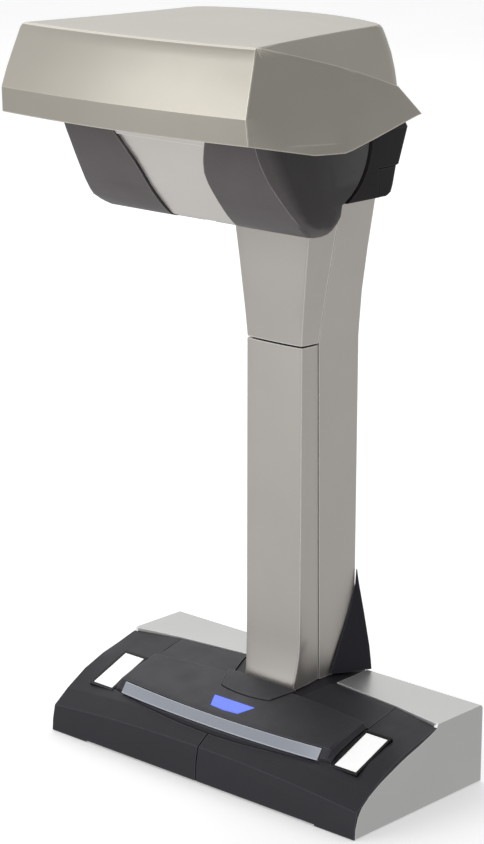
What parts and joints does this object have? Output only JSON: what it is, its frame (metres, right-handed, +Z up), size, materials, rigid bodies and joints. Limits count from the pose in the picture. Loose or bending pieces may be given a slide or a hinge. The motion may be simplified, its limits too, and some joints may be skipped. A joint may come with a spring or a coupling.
{
  "type": "book scanner",
  "caption": "Overhead book scanner: weighted base with console and keys, flat column and a hooded head with a swinging scan unit.",
  "frame": {"origin": "centre of the bounding box's underside, on the table", "axes": "+X to the right, front faces -Y, +Z up"},
  "size_m": [0.21, 0.156, 0.383],
  "materials": {
    "base_rear_housing": "satin silver paint on plastic",
    "front_cover_left": "fine grained",
    "front_cover_right": "fine grained",
    "console_cover": "fine grained",
    "column_surround": "fine grained",
    "status_lens": "translucent",
    "reference_sheet_left": "matt white",
    "reference_sheet_right": "matt white",
    "base_floor_plate": "fine grained",
    "ballast_plate": "plain",
    "base_screw_1": "plain",
    "base_screw_2": "plain",
    "base_screw_3": "plain",
    "base_screw_4": "plain",
    "rubber_foot_1": "moulded",
    "rubber_foot_2": "moulded",
    "rubber_foot_3": "moulded",
    "rubber_foot_4": "moulded",
    "main_board": "circuit board",
    "dc_inlet": "fine grained",
    "usb_socket": "plain",
    "scan_switch_left": "fine grained",
    "scan_switch_right": "fine grained",
    "stop_switch": "fine grained",
    "fin_left": "fine grained",
    "fin_right": "fine grained",
    "column_front_cover": "satin silver paint on plastic",
    "neck_front_cover": "satin silver paint on plastic",
    "column_rear_cover": "satin silver paint on plastic",
    "column_frame": "plain",
    "wire_harness": "sleeved",
    "hood_cover": "satin silver paint on plastic",
    "head_under_cover": "fine grained",
    "rear_housing": "fine grained",
    "rear_corner_cover": "fine grained",
    "head_frame": "plain",
    "pivot_bush_left": "brass",
    "pivot_bush_right": "brass",
    "gear_axle": "plain",
    "drive_motor": "plain",
    "scan_unit_shell": "satin",
    "centre_strip": "satin silver paint on plastic",
    "scan_axle": "plain",
    "sector_gear": "natural",
    "lens_barrel": "fine grained",
    "lens_glass": "coated",
    "lamp_window": "diffusing",
    "sensor_board": "circuit board",
    "idler_gear": "natural",
    "motor_pinion": "brass",
    "scan_button": "satin",
    "stop_button": "fine grained"
  },
  "bodies": {
    "stand": {"base_rear_housing": "base_rear_housing", "front_cover_left": "front_cover_left", "front_cover_right": "front_cover_right", "console_cover": "console_cover", "column_surround": "column_surround", "status_lens": "status_lens", "reference_sheet_left": "reference_sheet_left", "reference_sheet_right": "reference_sheet_right", "base_floor_plate": "base_floor_plate", "ballast_plate": "ballast_plate", "base_screw_1": "base_screw_1", "base_screw_2": "base_screw_2", "base_screw_3": "base_screw_3", "base_screw_4": "base_screw_4", "rubber_foot_1": "rubber_foot_1", "rubber_foot_2": "rubber_foot_2", "rubber_foot_3": "rubber_foot_3", "rubber_foot_4": "rubber_foot_4", "main_board": "main_board", "dc_inlet": "dc_inlet", "usb_socket": "usb_socket", "scan_switch_left": "scan_switch_left", "scan_switch_right": "scan_switch_right", "stop_switch": "stop_switch", "fin_left": "fin_left", "fin_right": "fin_right", "column_front_cover": "column_front_cover", "neck_front_cover": "neck_front_cover", "column_rear_cover": "column_rear_cover", "column_frame": "column_frame", "wire_harness": "wire_harness", "hood_cover": "hood_cover", "head_under_cover": "head_under_cover", "rear_housing": "rear_housing", "rear_corner_cover": "rear_corner_cover", "head_frame": "head_frame", "pivot_bush_left": "pivot_bush_left", "pivot_bush_right": "pivot_bush_right", "gear_axle": "gear_axle", "drive_motor": "drive_motor"},
    "scan_unit": {"scan_unit_shell": "scan_unit_shell", "centre_strip": "centre_strip", "scan_axle": "scan_axle", "sector_gear": "sector_gear", "lens_barrel": "lens_barrel", "lens_glass": "lens_glass", "lamp_window": "lamp_window", "sensor_board": "sensor_board"},
    "idler": {"idler_gear": "idler_gear"},
    "pinion": {"motor_pinion": "motor_pinion"},
    "scan_key": {"scan_button": "scan_button"},
    "stop_key": {"stop_button": "stop_button"}
  },
  "joints": [
    {"name": "scan_swing", "type": "hinge", "parent": "stand", "child": "scan_unit", "pos_m": [0, -0.01, 0.335], "axis": [-1, 0, 0], "range_deg": [0, 45]},
    {"name": "idler_spin", "type": "hinge", "parent": "stand", "child": "idler", "pos_m": [0.0409, 0.01057, 0.35951], "axis": [-1, 0, 0], "range_deg": [-140, 5]},
    {"name": "pinion_spin", "type": "hinge", "parent": "stand", "child": "pinion", "pos_m": [0.0409, 0.02185, 0.36362], "axis": [-1, 0, 0], "range_deg": [-5, 275]},
    {"name": "scan_press", "type": "slide", "parent": "stand", "child": "scan_key", "axis": [0, 0.7549, -0.6558], "range_m": [0, 0.0012], "stiffness_N_per_m": 600, "springref_m": -0.001},
    {"name": "stop_press", "type": "slide", "parent": "stand", "child": "stop_key", "axis": [0, 0.2516, -0.9678], "range_m": [0, 0.001], "stiffness_N_per_m": 600, "springref_m": -0.001}
  ],
  "couplings": [
    {"joint": "idler_spin", "follows": "scan_swing", "ratio": -3},
    {"joint": "pinion_spin", "follows": "scan_swing", "ratio": 6}
  ]
}
